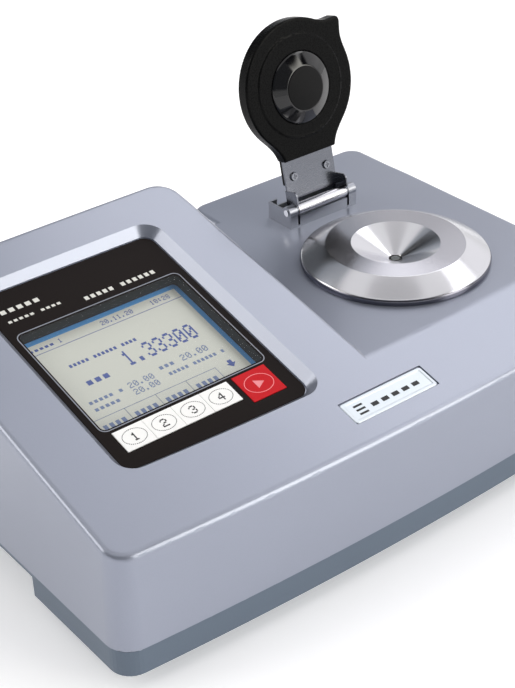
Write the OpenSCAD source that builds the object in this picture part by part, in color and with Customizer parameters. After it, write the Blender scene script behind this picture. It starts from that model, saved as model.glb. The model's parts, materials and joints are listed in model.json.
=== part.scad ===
// Digital bench refractometer: sample stage with a hinged cover, sloped display and keys.
// Millimetres, +Z up, table at z = 0, front towards -Y, display at the left, sample stage at the right.

/* [Housing] */
// overall width
body_w = 370; // [366:1:376]
// overall depth
body_d = 262; // [262:1:268]
// how far the middle of the front bows out
bow = 7.3; // [6:0.1:8.5]
// plan radius of the vertical corners
corner_r = 13.5; // [12:0.5:16]
// height of the front top edge above the table
front_h = 84.4; // [83.5:0.1:85.5]
// slope of the top in degrees
slope = 13.45; // [13:0.05:13.8]
// height of the deck that carries the sample stage
deck_h = 96.7; // [96:0.1:98]
// wall thickness of the housing
wall = 3; // [2.6:0.1:3.2]
// height of the rubber feet below the base
foot_h = 12; // [10:0.5:14]
// height of the base tray
base_h = 15.75; // [15:0.25:17]

/* [Sample stage] */
// outer radius of the stage ring
ring_r = 57.2; // [56:0.2:58]
// outer radius of the flat sample plate
plate_r = 41.9; // [41:0.1:42.5]
// rim radius of the sample cone
cone_r = 26.7; // [25:0.1:28]
// height of the stage above the deck
stage_h = 11; // [10.5:0.1:11.2]
// radius of the prism opening
prism_r = 3.9; // [3.5:0.1:4.5]

/* [Cover] */
// radius of the sample cover
lid_r = 41.2; // [40:0.2:41.6]
// backward lean of the open cover in degrees
lid_lean = 12.5; // [10:0.5:15]
// width of the cover's bracket
bracket_w = 39.6; // [38:0.2:40]

/* [Keys] */
// width of one white key
key_w = 17.9; // [17:0.1:18]
// travel of a key
key_travel = 0.4; // [0.3:0.05:0.5]

/* [Hidden] */
$fn = 64;
hw = body_w / 2;
front_y = -body_d / 2;
rear_y = body_d / 2;
z0 = foot_h + base_h;
tan_s = tan(slope);
bow_r = (hw * hw + bow * bow) / (2 * bow);
bow_y = front_y + bow_r;
virt_y = front_y + bow;
draft = 0.035;
body_h = 126;
split_x = 12.4;
split_rate = 0.10;
rear_a = 104;
step_x = 41;
stage = [97.8, -8.1];
plate_top = deck_h + stage_h;
hinge = [100.9, 65.3, 106.8];
panel_w = -3.9;
panel_x = [-142.9, -28];
panel_top = 195.7;
panel_v = 52.25;
panel_r = 7;
sheet = 0.8;
floor_w = panel_w - sheet;
win_x = [-137.6, -33.7];
win_v = [78.2, 160];
lcd_w = panel_w - 7.7;
key_x0 = -134.8;
key_pitch = 18.2;
key_v = [59.6, 74.7];
start_x = [-58.6, -36.9];
start_v = [54.5, 75];
board_w = -12.4;
rear_panel = [-160, 10, 33, 87];
panel_y = 98.5;
feet = [[-150, -88], [150, -88], [-150, 72], [150, 96]];
posts = [[-166, -96], [166, -96], [-166, 84], [166, 110], [0, -112]];

silver = [0.66, 0.68, 0.74];
blue_grey = [0.38, 0.44, 0.50];
steel = [0.78, 0.78, 0.79];
black = [0.06, 0.06, 0.065];
green = [0.07, 0.30, 0.16];
white = [0.90, 0.90, 0.88];
alu = [0.72, 0.73, 0.75];

// bow of the front edge at x, measured back from the apex line
function bow_at(x) = bow * (1 - (x / hw) * (x / hw));
// y of the centre of a front corner round centred at x
function front_c(x) = bow_y - sqrt(pow(bow_r - corner_r, 2) - x * x);

function arc(c, r, a0, a1, n) =
  [for (i = [0:n]) let (a = a0 + (a1 - a0) * i / n) c + r * [cos(a), sin(a)]];

// plan outline moved inwards: the display half ends before the stage half
function outline(inset) =
  let (r = corner_r - inset, x = hw - corner_r, th = asin(x / (bow_r - corner_r)), n = 24)
  concat(
    [[step_x + inset, rear_a - inset]],
    arc([-x, rear_a - corner_r], r, 90, 180, 8),
    arc([-x, front_c(x)], r, 180, 270 - th, 8),
    [for (i = [1:n - 1]) let (a = th * (2 * i / n - 1)) [0, bow_y] + (bow_r - inset) * [sin(a), -cos(a)]],
    arc([x, front_c(x)], r, 270 + th, 360, 8),
    arc([x, rear_y - corner_r], r, 0, 90, 8),
    arc([step_x + corner_r, rear_y - corner_r], r, 90, 180, 8));

// straight-sided solid between outline a at height za and outline b at height zb
module loft(a, b, za, zb) {
  n = len(a);
  polyhedron(
    points = concat([for (p = a) [p[0], p[1], za]], [for (p = b) [p[0], p[1], zb]]),
    faces = concat([[for (i = [0:n - 1]) i]], [[for (i = [0:n - 1]) 2 * n - 1 - i]],
                   [for (i = [0:n - 1]) [i, i + n, (i + 1) % n + n, (i + 1) % n]]));
}

// plan solid of the whole body with drafted walls
module body_plan(h, inset) loft(outline(inset), outline(inset + draft * h), z0, z0 + h);

// everything above the crowned slope, lowered by drop
module above_slope(drop) {
  n = 12;
  top = [for (i = [0:n]) let (x = hw * 1.1 * (2 * i / n - 1)) [x, (bow_at(x) * tan_s * cos(slope)) - drop]];
  on_slope(0, -60, 0) rotate([90, 0, 0]) mirror([0, 0, 1])
    linear_extrude(400) polygon(concat(top, [[hw * 1.1, 200], [-hw * 1.1, 200]]));
}

// outline of the display half above the deck at height z, moved inwards
function block_outline(z, inset) =
  let (r = 12 - inset, c = [split_x - 12 - split_rate * z, rear_a - draft * (deck_h - z0 + z) - 12])
  concat([[-400, -400], [c[0] + r, -400]], arc(c, r, 0, 90, 8), [[-400, c[1] + r]]);

// everything above the deck beside the display half, lowered by drop
module above_deck(drop) difference() {
  translate([-300, -300, deck_h - drop]) cube([600, 600, 120]);
  loft(block_outline(-12, drop), block_outline(70, drop), deck_h - 12, deck_h + 70);
}

// frame of the sloped top: x across, v up the slope, w out of the surface
module on_slope(x = 0, v = 0, w = 0) {
  translate([0, virt_y, front_h]) rotate([slope, 0, 0]) translate([x, v, w]) children();
}

// outline of the display panel, grown outwards by g; its lower edge follows the bowed front
function panel_points(g) =
  let (r = panel_r + g, x0 = panel_x[0] + panel_r, x1 = panel_x[1] - panel_r, rb = bow_r - panel_r,
       cv = panel_v - bow + bow_r, t0 = asin(x0 / rb), t1 = asin(x1 / rb), n = 8)
  concat(
    arc([x0, cv - rb * cos(t0)], r, 180, 270 + t0, 6),
    [for (i = [1:n - 1]) let (t = t0 + (t1 - t0) * i / n) [0, cv] + (bow_r + g) * [sin(t), -cos(t)]],
    arc([x1, cv - rb * cos(t1)], r, 270 + t1, 360, 6),
    arc([x1, panel_top - panel_r], r, 0, 90, 6),
    arc([x0, panel_top - panel_r], r, 90, 180, 6));

module panel_outline(g) polygon(panel_points(g));

module rounded(x, y, r) {
  translate([x[0] + r, y[0]]) square([x[1] - x[0] - 2 * r, y[1] - y[0]]);
  translate([x[0], y[0] + r]) square([x[1] - x[0], y[1] - y[0] - 2 * r]);
  for (a = [x[0] + r, x[1] - r], b = [y[0] + r, y[1] - r]) translate([a, b]) circle(r = r, $fn = 32);
}

function key_x(i) = key_x0 + key_pitch * i;

// display window outline grown by g
module window(g) rounded([win_x[0] - g, win_x[1] + g], [win_v[0] - g, win_v[1] + g], 3 + g);

// places of the five keys on the slope at height w
module at_keys(w) on_slope() {
  for (i = [0:3]) translate([key_x(i) + key_w / 2, (key_v[0] + key_v[1]) / 2, w]) children();
  translate([(start_x[0] + start_x[1]) / 2, (start_v[0] + start_v[1]) / 2, w]) children();
}

module plate_box(x, v, w, g = 0) {
  translate([x[0] - g, v[0] - g, w[0]]) cube([x[1] - x[0] + 2 * g, v[1] - v[0] + 2 * g, w[1] - w[0]]);
}

// height of the outside top surface at p
function top_at(p) =
  let (z = front_h + tan_s * (p[1] - virt_y)) p[0] > split_x ? min(z, deck_h) : z;

module upper_housing() color(silver) difference() {
  union() {
    difference() {
      body_plan(body_h, 0);
      above_slope(0);
      above_deck(0);
      difference() {
        translate([0, 0, -0.5]) body_plan(body_h, wall);
        above_slope(wall);
        above_deck(wall);
      }
    }
    for (p = posts) translate([p[0], p[1], z0]) cylinder(h = top_at(p) - 1.5 - z0, r = 5);
    on_slope()
      plate_box([panel_x[0] - 9, panel_x[1] + 9], [panel_v - 16, panel_top + 9], [floor_w - 2.6, -1]);
    translate([rear_panel[0] - 6, panel_y - 3, rear_panel[2] - 5])
      cube([rear_panel[1] - rear_panel[0] + 12, 5, rear_panel[3] - rear_panel[2] + 10]);
    translate([stage[0], stage[1], deck_h - 7]) cylinder(h = 6, r = 54);
  }
  // display recess with its wide chamfer
  on_slope() translate([0, 0, floor_w]) linear_extrude(12) panel_outline(0.6);
  on_slope() loft(panel_points(0.6), panel_points(8.6), panel_w, panel_w + 8);
  on_slope() translate([0, 0, floor_w - 4]) linear_extrude(5) window(1.6);
  // key pockets and stem holes
  on_slope() plate_box([key_x(0), key_x(3) + key_w], key_v, [floor_w - 1, floor_w + 1], 0.3);
  on_slope() plate_box(start_x, start_v, [floor_w - 1, floor_w + 1], 0.3);
  at_keys(floor_w - 5) cylinder(h = 6, r = 2.3);
  // nameplate recess
  on_slope() plate_box([-26.6, 32], [9.7, 26.3], [0.55, 4]);
  // stage and hinge openings in the deck
  translate([stage[0], stage[1], deck_h - 8]) cylinder(h = 20, r = 50);
  for (a = [-1, 1]) translate([hinge[0] + a * 14, hinge[1] + 10.4, deck_h - 6]) cylinder(h = 8, r = 2.2);
  // rear panel window and its screw holes
  translate([rear_panel[0] - 0.3, panel_y, rear_panel[2] - 0.3])
    cube([rear_panel[1] - rear_panel[0] + 0.6, 10, rear_panel[3] - rear_panel[2] + 0.6]);
  translate([rear_panel[0] + 6, panel_y - 8, rear_panel[2] + 6])
    cube([rear_panel[1] - rear_panel[0] - 12, 12, rear_panel[3] - rear_panel[2] - 12]);
  for (x = [rear_panel[0] + 3, rear_panel[1] - 3], z = [rear_panel[2] + 3, rear_panel[3] - 3])
    translate([x, panel_y - 2.6, z]) rotate([-90, 0, 0]) cylinder(h = 4, r = 1.2);
  // air slots at the rear of the stage half
  for (i = [0:9]) translate([72 + i * 9, rear_y - 12, 44]) cube([3.4, 20, 34]);
  for (p = posts) translate([p[0], p[1], z0 - 1]) cylinder(h = 18, r = 1.6);
}

module base_outline(h, inset) linear_extrude(h) polygon(outline(inset));

// hand recess in the side of the base
module hand_recess(s, g) {
  z = foot_h - 1;
  translate([s * (hw - 18 - g), 6.3, z]) mirror([s < 0 ? 1 : 0, 0, 0]) translate([0, -46 - g, 0])
    cube([40, 92 + 2 * g, base_h - 3 + 1 + g]);
}

module base_tray() color(blue_grey) difference() {
  union() {
    difference() {
      translate([0, 0, foot_h]) base_outline(base_h, 0.8);
      translate([0, 0, foot_h + 2.6]) base_outline(base_h, 3.4);
    }
    intersection() {
      translate([0, 0, foot_h]) base_outline(base_h, 0.8);
      union() {
        for (s = [-1, 1]) hand_recess(s, 2.2);
        for (p = posts) translate([p[0], p[1], foot_h]) cylinder(h = base_h, r = 6);
        for (p = feet) translate([p[0], p[1], foot_h]) cylinder(h = 8, r = 6);
        for (p = standoff_at) translate([p[0], p[1], foot_h]) cylinder(h = 6, r = 4);
      }
    }
  }
  for (s = [-1, 1]) hand_recess(s, 0);
  for (p = posts) {
    translate([p[0], p[1], foot_h - 1]) cylinder(h = 8, r = 4);
    translate([p[0], p[1], foot_h]) cylinder(h = base_h + 2, r = 2.1);
  }
  for (p = feet) translate([p[0], p[1], foot_h - 1]) cylinder(h = 7.5, r = 1.6);
  for (p = standoff_at) translate([p[0], p[1], foot_h + 2]) cylinder(h = 8, r = 1.25);
  // air inlet under the fan
  for (i = [-3:3]) translate([stage[0] + i * 8 - 1.8, stage[1] - 26, foot_h - 1]) cube([3.6, 52, 6]);
}

module rubber_feet() color(black) for (p = feet) translate([p[0], p[1], 0]) difference() {
  cylinder(h = foot_h, r1 = 10, r2 = 11.5);
  translate([0, 0, -1]) cylinder(h = foot_h - 3, r = 5);
  translate([0, 0, -1]) cylinder(h = foot_h + 2, r = 2.1);
}

module foot_screws() color(steel) for (p = feet) translate([p[0], p[1], foot_h - 4]) {
  translate([0, 0, -2.2]) difference() {
    cylinder(h = 2.2, r = 3.8);
    translate([0, 0, -0.1]) cylinder(h = 1.4, r = 1.6, $fn = 6);
  }
  cylinder(h = 9.5, r = 1.6);
}

module case_screws() color(steel) for (p = posts) translate([p[0], p[1], foot_h + 3.8]) {
  difference() {
    cylinder(h = 3.2, r = 3.6);
    translate([0, 0, -0.1]) cylinder(h = 1.8, r = 1.5, $fn = 6);
  }
  translate([0, 0, 3.2]) cylinder(h = base_h + 9, r = 1.6);
}

module membrane_panel() color(black) on_slope() difference() {
  translate([0, 0, floor_w]) linear_extrude(sheet) panel_outline(0);
  translate([0, 0, floor_w - 1]) linear_extrude(4) window(0);
  plate_box([key_x(0), key_x(3) + key_w], key_v, [floor_w - 1, 2], 0.3);
  plate_box(start_x, start_v, [floor_w - 1, 2], 0.3);
}

module lcd_window() color([0.8, 0.85, 0.88, 0.3]) on_slope() translate([0, 0, floor_w + 0.1])
  linear_extrude(sheet - 0.15) window(-0.05);

module lcd_bezel() color(black) on_slope() difference() {
  union() {
    translate([0, 0, lcd_w]) linear_extrude(floor_w - lcd_w) window(1.5);
    translate([0, 0, lcd_w]) linear_extrude(floor_w - 2.6 - lcd_w)
      rounded([win_x[0] - 5, win_x[1] + 5], [win_v[0] - 1.7, win_v[1] + 5], 2);
  }
  translate([0, 0, lcd_w - 1]) linear_extrude(20) window(0);
}

module lcd_module() on_slope() {
  color([0.72, 0.75, 0.70]) plate_box(win_x, win_v, [lcd_w - 2.2, lcd_w], 1);
  color(green)
    plate_box([win_x[0] - 6, win_x[1] + 6], [win_v[0] - 1.6, win_v[1] + 8], [lcd_w - 8, lcd_w - 6.4]);
  color(steel) difference() {
    plate_box([win_x[0] - 4, win_x[1] + 4], [win_v[0] - 1.6, win_v[1] + 4], [lcd_w - 6.4, lcd_w - 0.05]);
    plate_box(win_x, win_v, [lcd_w - 2.2, lcd_w + 1], 1);
  }
}

module key_board() color(green) on_slope() difference() {
  plate_box([key_x0 - 4, start_x[1] + 4], [start_v[0] - 3, key_v[1] - 0.2], [board_w - 1.6, board_w]);
  for (x = [key_x0 - 1, start_x[1] + 1]) translate([x, start_v[0], board_w - 3]) cylinder(h = 6, r = 1.3);
}

module key_domes() color(steel) at_keys(board_w) cylinder(h = 0.6, r1 = 3.5, r2 = 2.4);

// key cap with its stem, both clear of the pocket floor over the travel
module key_cap(x, v) {
  stem = panel_w + 0.2 - (board_w + 0.7 + key_travel);
  on_slope() {
    plate_box(x, v, [panel_w - 0.9, panel_w + 0.2]);
    translate([(x[0] + x[1]) / 2, (v[0] + v[1]) / 2, panel_w + 0.2 - stem]) cylinder(h = stem - 0.5, r = 2);
  }
}

module key_1() color(white) key_cap([key_x(0), key_x(0) + key_w], key_v);
module key_2() color(white) key_cap([key_x(1), key_x(1) + key_w], key_v);
module key_3() color(white) key_cap([key_x(2), key_x(2) + key_w], key_v);
module key_4() color(white) key_cap([key_x(3), key_x(3) + key_w], key_v);
module key_start() color([0.78, 0.06, 0.10]) key_cap(start_x, start_v);

module nameplate() color(steel) on_slope() difference() {
  plate_box([-26, 31.4], [10.3, 25.7], [0.55, 1.35]);
  plate_box([-24, 29.4], [12.3, 23.7], [1.05, 3]);
}

module at_stage(z = 0) translate([stage[0], stage[1], z]) children();

module stage_ring() color(steel) at_stage() difference() {
  rotate_extrude($fn = 128)
    polygon([[plate_r - 0.3, deck_h + 0.02], [ring_r, deck_h + 0.02], [ring_r, deck_h + 3.2],
             [ring_r - 0.6, deck_h + 3.9], [plate_r, plate_top], [plate_r - 0.3, plate_top]]);
  for (a = [0, 120, 240]) rotate(a + 30) translate([46, 0, deck_h - 1]) cylinder(h = 5.6, r = 1.95);
}

module sample_plate() color(steel) at_stage() rotate_extrude($fn = 128)
  polygon([[prism_r, deck_h - 1.5], [plate_r - 0.35, deck_h - 1.5], [plate_r - 0.35, plate_top],
           [cone_r, plate_top], [prism_r, deck_h + 0.2]]);

module prism_seal() color(black) at_stage(deck_h - 0.55) rotate_extrude()
  translate([prism_r - 0.55, 0]) circle(r = 0.5, $fn = 24);

module prism() color([0.75, 0.85, 0.90, 0.5]) at_stage(deck_h - 12) difference() {
  union() {
    cylinder(h = 12.1, r = 2.75);
    translate([-5, -8, 0]) cube([10, 16, 10.3]);
  }
  for (s = [-1, 1]) translate([-10, s * 4, 0]) rotate([s * 60, 0, 0])
    translate([0, s > 0 ? 0 : -20, -20]) cube([20, 20, 20]);
}

module prism_holder() color([0.70, 0.55, 0.28]) at_stage(deck_h - 16.7) difference() {
  cylinder(h = 15.1, r = 15.9);
  translate([0, 0, 12]) cylinder(h = 5, r = 2.95);
  translate([-5.1, -8.1, 4.6]) cube([10.2, 16.2, 10.5]);
  translate([-5.1, -20, -1]) cube([10.2, 40, 7]);
  for (s = [-1, 1]) translate([s * 10, 0, 3.9]) cylinder(h = 14, r = 1.3);
}

module stage_base() color(alu) at_stage(deck_h - 10.7) difference() {
  union() {
    cylinder(h = 9, r = 49.6);
    cylinder(h = 3.6, r = 53.5);
  }
  translate([0, 0, -1]) cylinder(h = 12, r = 16);
  for (a = [0, 120, 240]) rotate(a + 30) translate([46, 0, -1]) {
    cylinder(h = 12, r = 2.1);
    cylinder(h = 4, r = 4);
  }
}

module stage_screws() color(steel) at_stage(deck_h - 10.7)
  for (a = [0, 120, 240]) rotate(a + 30) translate([46, 0, 0]) {
    difference() {
      cylinder(h = 2.9, r = 3.6);
      translate([0, 0, -0.1]) cylinder(h = 1.8, r = 1.5, $fn = 6);
    }
    translate([0, 0, 2.9]) cylinder(h = 12, r = 1.9);
  }

module peltier_modules() color([0.88, 0.88, 0.86]) at_stage(deck_h - 14.5) for (s = [-1, 1])
  translate([s * 27 - 10, -15, 0]) cube([20, 30, 3.7]);

module heat_sink() color(alu) at_stage(deck_h - 36) {
  for (s = [-1, 1]) {
    translate([s * 28 - 12, -30, 17]) cube([24, 60, 4.4]);
    for (i = [0:5]) translate([s * 28 - 12 + i * 4.5, -30, -0.3]) cube([1.5, 60, 17.5]);
  }
  for (y = [-30, 22]) difference() {
    translate([-40, y, -3]) cube([80, 8, 2.9]);
    for (x = [-26, 26]) translate([x, y + 4, -4]) cylinder(h = 5, r = 1.75);
  }
}

module fan_frame() color(black) at_stage(deck_h - 54.5) {
  difference() {
    translate([-30, -30, 0]) cube([60, 60, 15.4]);
    translate([0, 0, -1]) cylinder(h = 18, r = 28);
    for (x = [-26, 26], y = [-26, 26]) translate([x, y, -1]) cylinder(h = 18, r = 2);
  }
  cylinder(h = 2, r = 11);
  cylinder(h = 11, r = 1.5);
  for (a = [0, 120, 240]) rotate(a) translate([10, -1.5, 0]) cube([19, 3, 2]);
}

module fan_rotor() color([0.12, 0.12, 0.13]) at_stage(deck_h - 54.5) {
  difference() {
    translate([0, 0, 2.6]) cylinder(h = 11, r = 11.5);
    cylinder(h = 11.4, r = 1.56);
  }
  for (i = [0:6]) rotate(i * 360 / 7) translate([10.6, 0, 8.1]) rotate([38, 0, 0])
    translate([0, -6, -0.6]) cube([16, 12, 1.2]);
}

module fan_screws() color(steel) at_stage(deck_h - 56.5)
  for (x = [-26, 26], y = [-26, 26]) translate([x, y, 0]) {
    cylinder(h = 2, r = 3.2);
    cylinder(h = 20, r = 1.7);
  }

module temperature_probe() color(steel) at_stage(deck_h - 12.7) translate([10, 0, 0]) {
  cylinder(h = 9, r = 1.2);
}

module optics_block() color(black) at_stage(deck_h - 40) difference() {
  translate([-8, -56, 4]) cube([16, 112, 18]);
  for (s = [-1, 1]) translate([0, 0, 24]) rotate([s * 60, 0, 0])
    translate([0, 0, -62]) cylinder(h = 62, r = 4.6);
  translate([-9, -12, 14]) cube([18, 24, 12]);
  for (y = [-50, 50]) translate([0, y, 3]) cylinder(h = 30, r = 1.6);
}

// a piece on the inclined light path, s = -1 towards the front and 1 towards the rear
module on_path(s, d) at_stage(deck_h - 16) rotate([-s * 60, 0, 0]) translate([0, 0, -d]) children();

module led_source() on_path(-1, 44) {
  color([0.95, 0.85, 0.5]) cylinder(h = 5, r = 2.5);
  color([0.95, 0.85, 0.5]) translate([0, 0, -1.2]) cylinder(h = 1.4, r = 3);
  color(green) translate([0, 0, -2.4]) cylinder(h = 1.3, r = 4.4);
}

module collimator_lens() color([0.8, 0.88, 0.92, 0.4]) on_path(-1, 30) intersection() {
  cylinder(h = 3, r = 4.5);
  translate([0, 0, -7.5]) sphere(r = 10);
}

module objective_lens() on_path(1, 30) {
  color(black) difference() {
    cylinder(h = 8, r = 4.5);
    translate([0, 0, -1]) cylinder(h = 10, r = 3.2);
  }
  color([0.8, 0.88, 0.92, 0.4]) translate([0, 0, 3]) cylinder(h = 2, r = 3.25);
}

module sensor_board() at_stage(deck_h - 40) {
  color(green) translate([-16, 56.5, 2]) cube([32, 1.6, 26]);
  color([0.15, 0.15, 0.16]) translate([-7, 56.1, 6]) cube([14, 0.6, 9]);
  color(white) translate([-12, 58.1, 18]) cube([12, 5, 5]);
}

board = [-150, 10, -84, 24];
board_z = foot_h + 16;
standoff_at = [for (x = [board[0] + 5, board[1] - 5], y = [board[2] + 5, board[3] - 5]) [x, y]];

module main_board() {
  color(green) difference() {
    translate([board[0], board[2], board_z]) cube([board[1] - board[0], board[3] - board[2], 1.6]);
    for (p = standoff_at) translate([p[0], p[1], board_z - 1]) cylinder(h = 4, r = 1.6);
  }
  color([0.10, 0.10, 0.11])
    for (c = [[-120, -40, 24, 24, 3], [-80, -50, 14, 20, 3], [-80, -10, 20, 14, 3], [-40, -30, 10, 24, 4]])
      translate([c[0], c[1], board_z + 1.6]) cube([c[2], c[3], c[4]]);
  color(white) for (c = [[-140, 10, 30, 6, 8], [-60, 12, 40, 6, 8], [-10, -60, 6, 30, 8]])
    translate([c[0], c[1], board_z + 1.6]) cube([c[2], c[3], c[4]]);
  color([0.2, 0.25, 0.5]) for (x = [-30, -18, -6]) translate([x, -72, board_z + 1.6]) cylinder(h = 12, r = 4);
}

module board_standoffs() color([0.75, 0.62, 0.32]) for (p = standoff_at) translate([p[0], p[1], foot_h + 6]) {
  difference() {
    cylinder(h = board_z - foot_h - 6, r = 3, $fn = 6);
    translate([0, 0, board_z - foot_h - 14]) cylinder(h = 10, r = 1.25);
  }
  translate([0, 0, -3.9]) cylinder(h = 4, r = 1.2);
}

module board_screws() color(steel) for (p = standoff_at) translate([p[0], p[1], board_z + 1.6]) {
  cylinder(h = 1.8, r = 2.8);
  translate([0, 0, -6]) cylinder(h = 6.5, r = 1.2);
}

module power_supply() {
  color(green) translate([-140, 40, 20]) cube([100, 42, 1.6]);
  color(alu) translate([-140, 40, 14.62]) difference() {
    cube([100, 42, 5.4]);
    translate([2, -1, 2]) cube([96, 44, 6]);
  }
  color([0.85, 0.80, 0.25]) translate([-100, 50, 21.6]) cube([24, 22, 20]);
  color([0.12, 0.12, 0.13]) for (x = [-128, -114]) translate([x, 60, 21.6]) cylinder(h = 22, r = 6);
  color(alu) translate([-68, 46, 21.6]) cube([3, 30, 22]);
  color(white) translate([-56, 48, 21.6]) cube([8, 24, 9]);
}

inlet = [-132, 60];
rocker = [-94, 60];
port_1 = [-56, 60];
port_2 = [-16, 60];

module rear_panel() color(alu) difference() {
  translate([rear_panel[0], panel_y, rear_panel[2]])
    cube([rear_panel[1] - rear_panel[0], 2, rear_panel[3] - rear_panel[2]]);
  translate([inlet[0] - 13.6, panel_y - 1, inlet[1] - 10.1]) cube([27.2, 4, 20.2]);
  translate([rocker[0] - 6.6, panel_y - 1, rocker[1] - 9.6]) cube([13.2, 4, 19.2]);
  for (p = [port_1, port_2]) translate([p[0] - 8.6, panel_y - 1, p[1] - 4.6]) cube([17.2, 4, 9.2]);
  for (p = [port_1, port_2], s = [-1, 1]) translate([p[0] + s * 12.5, panel_y - 1, p[1]])
    rotate([-90, 0, 0]) cylinder(h = 4, r = 1.3);
  for (x = [rear_panel[0] + 3, rear_panel[1] - 3], z = [rear_panel[2] + 3, rear_panel[3] - 3])
    translate([x, panel_y - 1, z]) rotate([-90, 0, 0]) cylinder(h = 4, r = 1.5);
}

module panel_screws() color(steel)
  for (x = [rear_panel[0] + 3, rear_panel[1] - 3], z = [rear_panel[2] + 3, rear_panel[3] - 3])
    translate([x, panel_y + 2, z]) rotate([90, 0, 0]) {
      translate([0, 0, -1.6]) cylinder(h = 1.6, r = 2.6);
      cylinder(h = 4.4, r = 1.1);
    }

module iec_inlet() {
  color(black) translate([inlet[0], panel_y, inlet[1]]) difference() {
    union() {
      translate([-15.5, 2.02, -12]) cube([31, 1.5, 24]);
      translate([-13.4, -22, -9.9]) cube([26.8, 25.5, 19.8]);
    }
    translate([-12.2, -14, -8.7]) cube([24.4, 30, 17.4]);
  }
  color(steel) for (p = [[-7, -1], [7, -1], [0, 2]])
    translate([inlet[0] + p[0] - 1, panel_y - 28, inlet[1] + p[1] - 2]) cube([2, 29, 4]);
}

module switch_body() color(black) translate([rocker[0], panel_y, rocker[1]]) difference() {
  union() {
    translate([-8, 2.02, -11.2]) cube([16, 1.5, 22.4]);
    translate([-6.4, -16, -9.4]) cube([12.8, 18.5, 18.8]);
  }
  translate([-4.9, -9, -7.9]) cube([9.8, 20, 15.8]);
}

// rocker tipped to its off side, with two finger faces that meet in a shallow valley
module power_rocker() color([0.08, 0.08, 0.09])
  translate([rocker[0], panel_y + 0.4, rocker[1]]) rotate([-8, 0, 0])
    for (a = [-8, 8]) intersection() {
      translate([-4.5, 0, 0]) rotate([0, 90, 0]) cylinder(h = 9, r = 7.3);
      translate([-6, 4.6, 0]) rotate([a, 0, 0]) translate([0, -8.6, -9]) cube([12, 8.6, 18]);
    }

module db9(p, c) translate([p[0], panel_y, p[1]]) {
  color(steel) difference() {
    translate([-15.4, 2.02, -6.2]) cube([30.8, 0.8, 12.4]);
    for (s = [-1, 1]) translate([s * 12.5, 0, 0]) rotate([-90, 0, 0]) cylinder(h = 6, r = 1.4);
    translate([-8, 0, -4]) cube([16, 6, 8]);
  }
  color(steel) difference() {
    translate([-8.4, -3, -4.4]) cube([16.8, 8.6, 8.8]);
    translate([-7.8, -2, -3.8]) cube([15.6, 9, 7.6]);
  }
  color(c) translate([-7.6, -6, -3.6]) cube([15.2, 8.4, 7.2]);
  color([0.8, 0.68, 0.3]) for (i = [0:8])
    translate([(i < 5 ? -5.4 : -17.55) + i * 2.7, 2, i < 5 ? 1.4 : -1.4])
      rotate([-90, 0, 0]) cylinder(h = 3, r = 0.5);
  color(steel) for (s = [-1, 1]) translate([s * 12.5, -1, 0]) rotate([-90, 0, 0]) {
    cylinder(h = 4, r = 1.25);
    translate([0, 0, 3.82]) cylinder(h = 3, r = 2.6, $fn = 6);
  }
}

module serial_port() db9(port_1, black);
module printer_port() db9(port_2, [0.15, 0.20, 0.45]);

// hinge: block on the deck, barrel along its front top edge
slot_x = 20.2;
slot_w = 1.6;
barrel_r = 3.8;
block_y = [61.5, 83.5];
block_top = deck_h + 11.3;

module hinge_block() color(steel) difference() {
  union() {
    translate([hinge[0] - 27, block_y[0], deck_h + 0.02]) cube([54, block_y[1] - block_y[0], 7]);
    for (x = [-27, slot_x + slot_w / 2]) translate([hinge[0] + x, 0, 0]) hinge_cap(27 - slot_x - slot_w / 2);
  }
  translate([hinge[0] - 25.8, block_y[0] + 9.4, deck_h + 1.2]) cube([51.6, 11.4, 20]);
  for (s = [-1, 1]) translate([hinge[0] + s * slot_x - slot_w / 2, block_y[0] - 1, deck_h + 1.2])
    cube([slot_w, 21.8, 20]);
  translate([hinge[0] - 30, hinge[1], hinge[2]]) rotate([0, 90, 0]) cylinder(h = 60, r = 1.6);
  translate([hinge[0] - slot_x, hinge[1], hinge[2]]) rotate([0, 90, 0])
    cylinder(h = 2 * slot_x, r = barrel_r + 0.05);
  for (a = [-1, 1]) translate([hinge[0] + a * 14, hinge[1] + 10.4, deck_h - 1]) cylinder(h = 8, r = 2.1);
}

// end cap: barrel profile in front, flat cheek behind
module hinge_cap(w) {
  translate([0, block_y[0] + 0.1, deck_h + 0.02])
    cube([w, block_y[1] - block_y[0] - 0.1, block_top - deck_h - 2.6]);
  translate([0, hinge[1], deck_h + 4]) cube([w, block_y[1] - hinge[1], block_top - deck_h - 4]);
  translate([0, hinge[1], hinge[2]]) rotate([0, 90, 0]) cylinder(h = w, r = barrel_r);
}

module hinge_screws() color(steel)
  for (a = [-1, 1]) translate([hinge[0] + a * 14, hinge[1] + 10.4, deck_h + 1.2]) {
    difference() {
      cylinder(h = 2.2, r = 3.6);
      translate([0, 0, 1]) cylinder(h = 1.4, r = 1.5, $fn = 6);
    }
    translate([0, 0, -8.2]) cylinder(h = 8.4, r = 1.9);
  }

module hinge_barrel() color(steel) translate([hinge[0], hinge[1], hinge[2]]) rotate([0, 90, 0]) difference() {
  translate([0, 0, -slot_x + slot_w / 2 + 0.02]) cylinder(h = 2 * slot_x - slot_w - 0.04, r = barrel_r);
  translate([0, 0, -slot_x]) cylinder(h = 2 * slot_x, r = 1.6);
}

module hinge_pin() color(steel) translate([hinge[0] - 27.6, hinge[1], hinge[2]]) rotate([0, 90, 0]) {
  cylinder(h = 55.2, r = 1.55);
  cylinder(h = 0.6, r = 2.1);
}

module friction_washers() color([0.72, 0.6, 0.3]) for (s = [-1, 1])
  translate([hinge[0] + s * (slot_x - 0.64), hinge[1], hinge[2]]) rotate([0, 90, 0])
    translate([0, 0, -0.14]) difference() {
      cylinder(h = 0.28, r = 3.4);
      translate([0, 0, -1]) cylinder(h = 3, r = 1.6);
    }

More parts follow.
